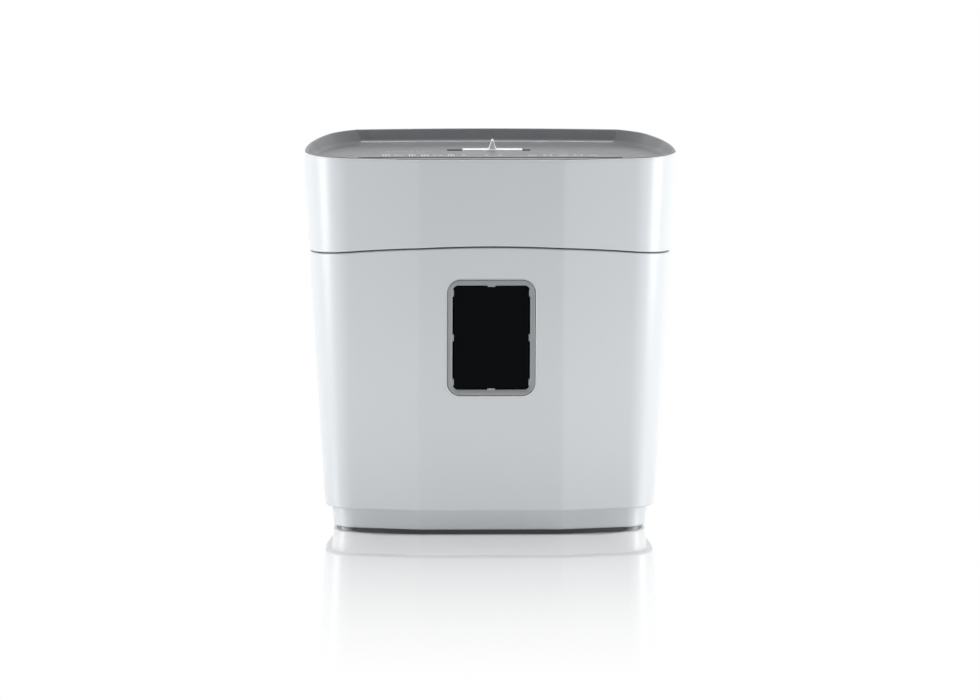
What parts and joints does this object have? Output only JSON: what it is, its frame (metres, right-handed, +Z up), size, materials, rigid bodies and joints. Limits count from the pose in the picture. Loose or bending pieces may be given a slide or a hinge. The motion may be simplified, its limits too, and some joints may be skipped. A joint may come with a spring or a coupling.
{
  "type": "paper shredder",
  "caption": "Small office paper shredder: a lift-off head with feed slot, slide switch, geared cutting rollers and motor, standing on a tapered bin with a window.",
  "frame": {"origin": "centre of the footprint's bounding box, on the surface that the feet stand on", "axes": "+X the operator's right, +Y the back, +Z up"},
  "size_m": [0.3148, 0.1899, 0.3224],
  "materials": {
    "white_body": "gloss moulded, white",
    "grey_cover": "fine satin texture, mid grey",
    "window_grey": "satin, light grey",
    "window_smoke": "polished, near black, smoke tinted",
    "foot_rubber": "matte, pale",
    "black_plastic": "matte, black",
    "white_nylon": "natural nylon",
    "switch_white": "satin gloss, white",
    "cutter_steel": "ground and hardened, light oil",
    "plate_steel": "zinc plated sheet",
    "gear_steel": "sintered steel",
    "screw_steel": "zinc plated",
    "bush_bronze": "sintered bronze",
    "motor_steel": "dark plated can",
    "board_green": "solder mask, green",
    "relay_blue": "moulded, blue",
    "lead_red": "lead insulation, red",
    "lead_black": "lead insulation, black",
    "capacitor_skin": "shrink sleeve, dark blue"
  },
  "bodies": {
    "bin": {"waste_bin": "white_body", "window_frame": "window_grey", "window_pane": "window_smoke", "rubber_feet": "foot_rubber"},
    "head": {"head_shell": "white_body", "top_cover": "grey_cover", "head_base": "black_plastic", "base_screws": "screw_steel", "cord_gland": "black_plastic", "side_plate_left": "plate_steel", "side_plate_right": "plate_steel", "roller_bushes": "bush_bronze", "tie_rods": "plate_steel", "tie_rod_nuts": "screw_steel", "front_stripper_comb": "black_plastic", "rear_stripper_comb": "black_plastic", "feed_chute": "black_plastic", "motor_can": "motor_steel", "motor_end_cap": "black_plastic", "motor_screws": "screw_steel", "motor_lead_red": "lead_red", "motor_lead_black": "lead_black", "gear_axles": "cutter_steel", "gear_cover": "black_plastic", "gear_cover_screws": "screw_steel", "control_board": "board_green", "board_screws": "screw_steel", "terminal_block": "black_plastic", "relay": "relay_blue", "capacitor": "capacitor_skin", "mode_switch_block": "black_plastic", "interlock_switch": "black_plastic", "interlock_spring": "screw_steel", "sensor_switch": "black_plastic", "sensor_pin": "screw_steel"},
    "front_roller": {"front_cutter_shaft": "cutter_steel", "front_cutter_discs": "cutter_steel", "front_cutter_spacers": "cutter_steel", "front_sync_gear": "gear_steel"},
    "rear_roller": {"rear_cutter_shaft": "cutter_steel", "rear_cutter_discs": "cutter_steel", "rear_cutter_spacers": "cutter_steel", "rear_sync_gear": "gear_steel", "roller_drive_gear": "gear_steel"},
    "second_gear": {"second_reduction_gear": "white_nylon"},
    "first_gear": {"first_reduction_gear": "white_nylon"},
    "rotor": {"motor_rotor": "cutter_steel", "motor_pinion": "gear_steel"},
    "slider": {"switch_slider": "switch_white"},
    "paper_lever": {"sensor_lever": "white_nylon"},
    "lock_plunger": {"interlock_plunger": "white_nylon"}
  },
  "joints": [
    {"name": "head_lift", "type": "slide", "parent": "bin", "child": "head", "axis": [0, 0, 1], "range_m": [0, 0.15]},
    {"name": "rear_roller_turn", "type": "hinge", "parent": "head", "child": "rear_roller", "pos_m": [0, -0.022, 0.268], "axis": [1, 0, 0], "continuous": true},
    {"name": "front_roller_turn", "type": "hinge", "parent": "head", "child": "front_roller", "pos_m": [0, -0.054, 0.268], "axis": [1, 0, 0], "continuous": true},
    {"name": "second_gear_turn", "type": "hinge", "parent": "head", "child": "second_gear", "pos_m": [0, 0.01475, 0.268], "axis": [1, 0, 0], "continuous": true},
    {"name": "first_gear_turn", "type": "hinge", "parent": "head", "child": "first_gear", "pos_m": [0, 0.0429, 0.28425], "axis": [1, 0, 0], "continuous": true},
    {"name": "motor_turn", "type": "hinge", "parent": "head", "child": "rotor", "pos_m": [0, 0.02451, 0.26587], "axis": [1, 0, 0], "continuous": true},
    {"name": "mode_slide", "type": "slide", "parent": "head", "child": "slider", "axis": [1, 0, 0], "range_m": [-0.0128, 0.0064]},
    {"name": "paper_lever_swing", "type": "hinge", "parent": "head", "child": "paper_lever", "pos_m": [0.036, -0.027, 0.303], "axis": [1, 0, 0], "range_deg": [0, 26], "stiffness_Nm_per_rad": 0.004, "springref_deg": -20.05},
    {"name": "lock_plunger_press", "type": "slide", "parent": "head", "child": "lock_plunger", "axis": [0, 0, 1], "range_m": [0, 0.0024], "stiffness_N_per_m": 150, "springref_m": -0.004, "deforming": ["interlock_spring"]}
  ],
  "couplings": [
    {"joint": "front_roller_turn", "follows": "rear_roller_turn", "ratio": -1},
    {"joint": "second_gear_turn", "follows": "rear_roller_turn", "ratio": -2.5},
    {"joint": "first_gear_turn", "follows": "rear_roller_turn", "ratio": 8.3333},
    {"joint": "motor_turn", "follows": "rear_roller_turn", "ratio": -35}
  ]
}
